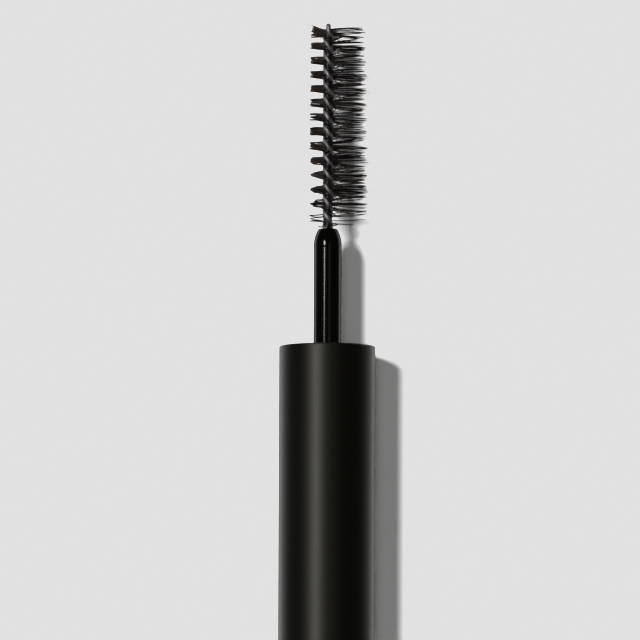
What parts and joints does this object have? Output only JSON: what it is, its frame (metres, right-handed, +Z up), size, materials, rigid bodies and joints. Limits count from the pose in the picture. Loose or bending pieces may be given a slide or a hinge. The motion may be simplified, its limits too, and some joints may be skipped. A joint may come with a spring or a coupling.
{
  "type": "mascara tube",
  "caption": "Slim round mascara tube with a screw cap: the wand with its rod and twisted-wire brush is drawn out of the vial.",
  "frame": {"origin": "under the middle of the whole length, on the surface that the wand and the vial lie on", "axes": "+Z up; +Y along the barrel from the cap's closed end, past the brush, to the vial's base"},
  "size_m": [0.0136, 0.1716, 0.0135],
  "materials": {
    "satin_black": "satin black lacquer on aluminium",
    "neck_plastic": "moulded black polypropylene",
    "insert_plastic": "moulded black polypropylene",
    "wiper_rubber": "soft translucent elastomer",
    "paste": "thick wet black mascara",
    "label_paper": "blank coated paper label",
    "washer_foam": "closed-cell foam liner",
    "weight_steel": "turned zinc-plated steel",
    "pad_foam": "soft open-cell foam",
    "rod_plastic": "glossy black acetal",
    "wire_steel": "drawn stainless wire with a film of paste",
    "bristle_nylon": "black nylon fibre, lightly coated with paste"
  },
  "bodies": {
    "vial": {"vial_sleeve": "satin_black", "bottle": "neck_plastic", "wiper": "wiper_rubber", "mascara_fill": "paste", "base_label": "label_paper"},
    "washer": {"seal_washer": "washer_foam"},
    "weight": {"cap_weight": "weight_steel"},
    "wand": {"cap_sleeve": "satin_black", "inner_cap": "insert_plastic", "weight_pad": "pad_foam", "rod": "rod_plastic", "wire_core": "wire_steel", "bristles": "bristle_nylon"}
  },
  "joints": [
    {"name": "wand_pull", "type": "slide", "parent": "vial", "child": "washer", "axis": [0, 1, 0], "range_m": [0, 0.0633], "deforming": ["bristles"]},
    {"name": "cap_advance", "type": "slide", "parent": "washer", "child": "weight", "axis": [0, 1, 0], "range_m": [0, 0.003]},
    {"name": "cap_turn", "type": "hinge", "parent": "weight", "child": "wand", "pos_m": [0, -0.0578, 0.00675], "axis": [0, 1, 0], "range_deg": [0, 540]}
  ],
  "couplings": [
    {"joint": "cap_advance", "follows": "cap_turn", "m_per_rad": 0.00031831}
  ]
}
